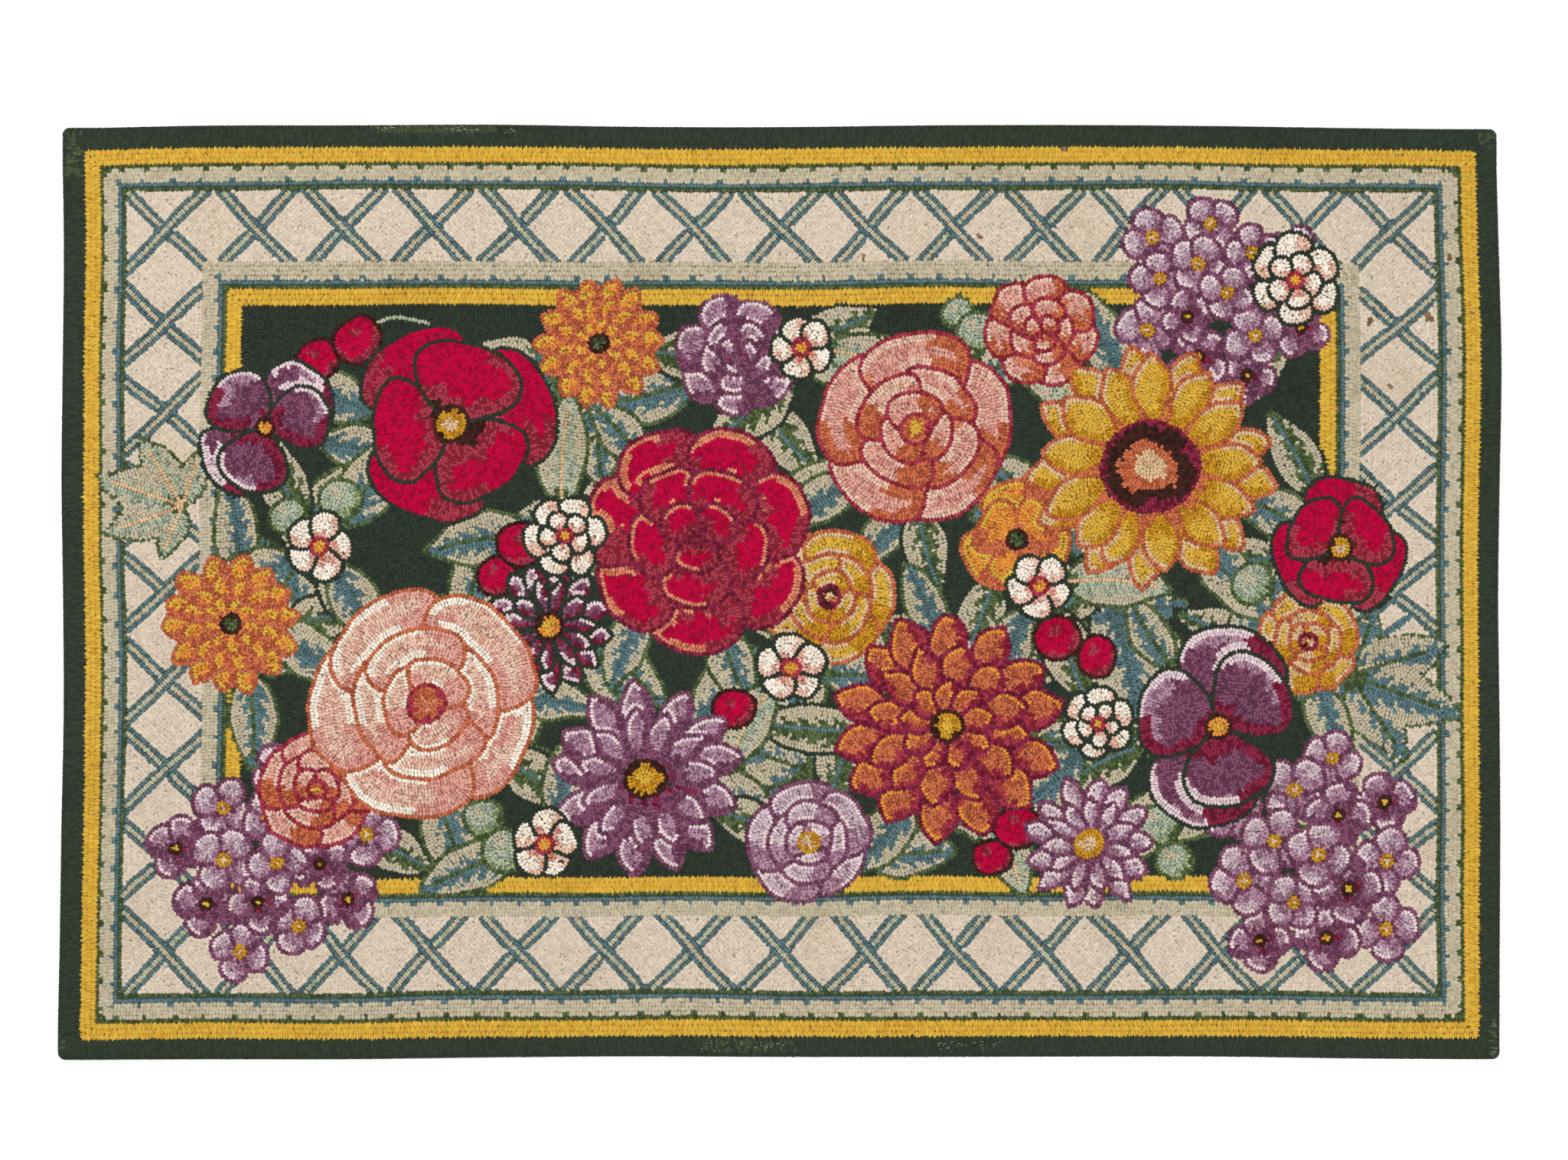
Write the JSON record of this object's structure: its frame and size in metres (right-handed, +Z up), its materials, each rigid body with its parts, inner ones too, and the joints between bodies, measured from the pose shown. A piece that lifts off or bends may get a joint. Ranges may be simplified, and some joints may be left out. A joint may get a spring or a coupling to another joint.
{
  "type": "hooked rug",
  "caption": "Flat hooked wool rug with a banded border, a trellis band and a dark field filled with flowers and leaves.",
  "frame": {"origin": "on the floor under the middle of the rug, at the bottom centre of its bounding box", "axes": "+X along the rug's length to the right as it is looked at, +Y across its width to its top edge, +Z up out of the pile"},
  "size_m": [1.84, 1.192, 0.0085],
  "materials": {
    "wool_pile": "matt looped wool yarn in many colours, worn and lightly soiled",
    "foundation_cloth": "matt plain-woven foundation cloth with flat yarn stitches"
  },
  "bodies": {
    "root": {"rug": "wool_pile"}
  },
  "joints": []
}
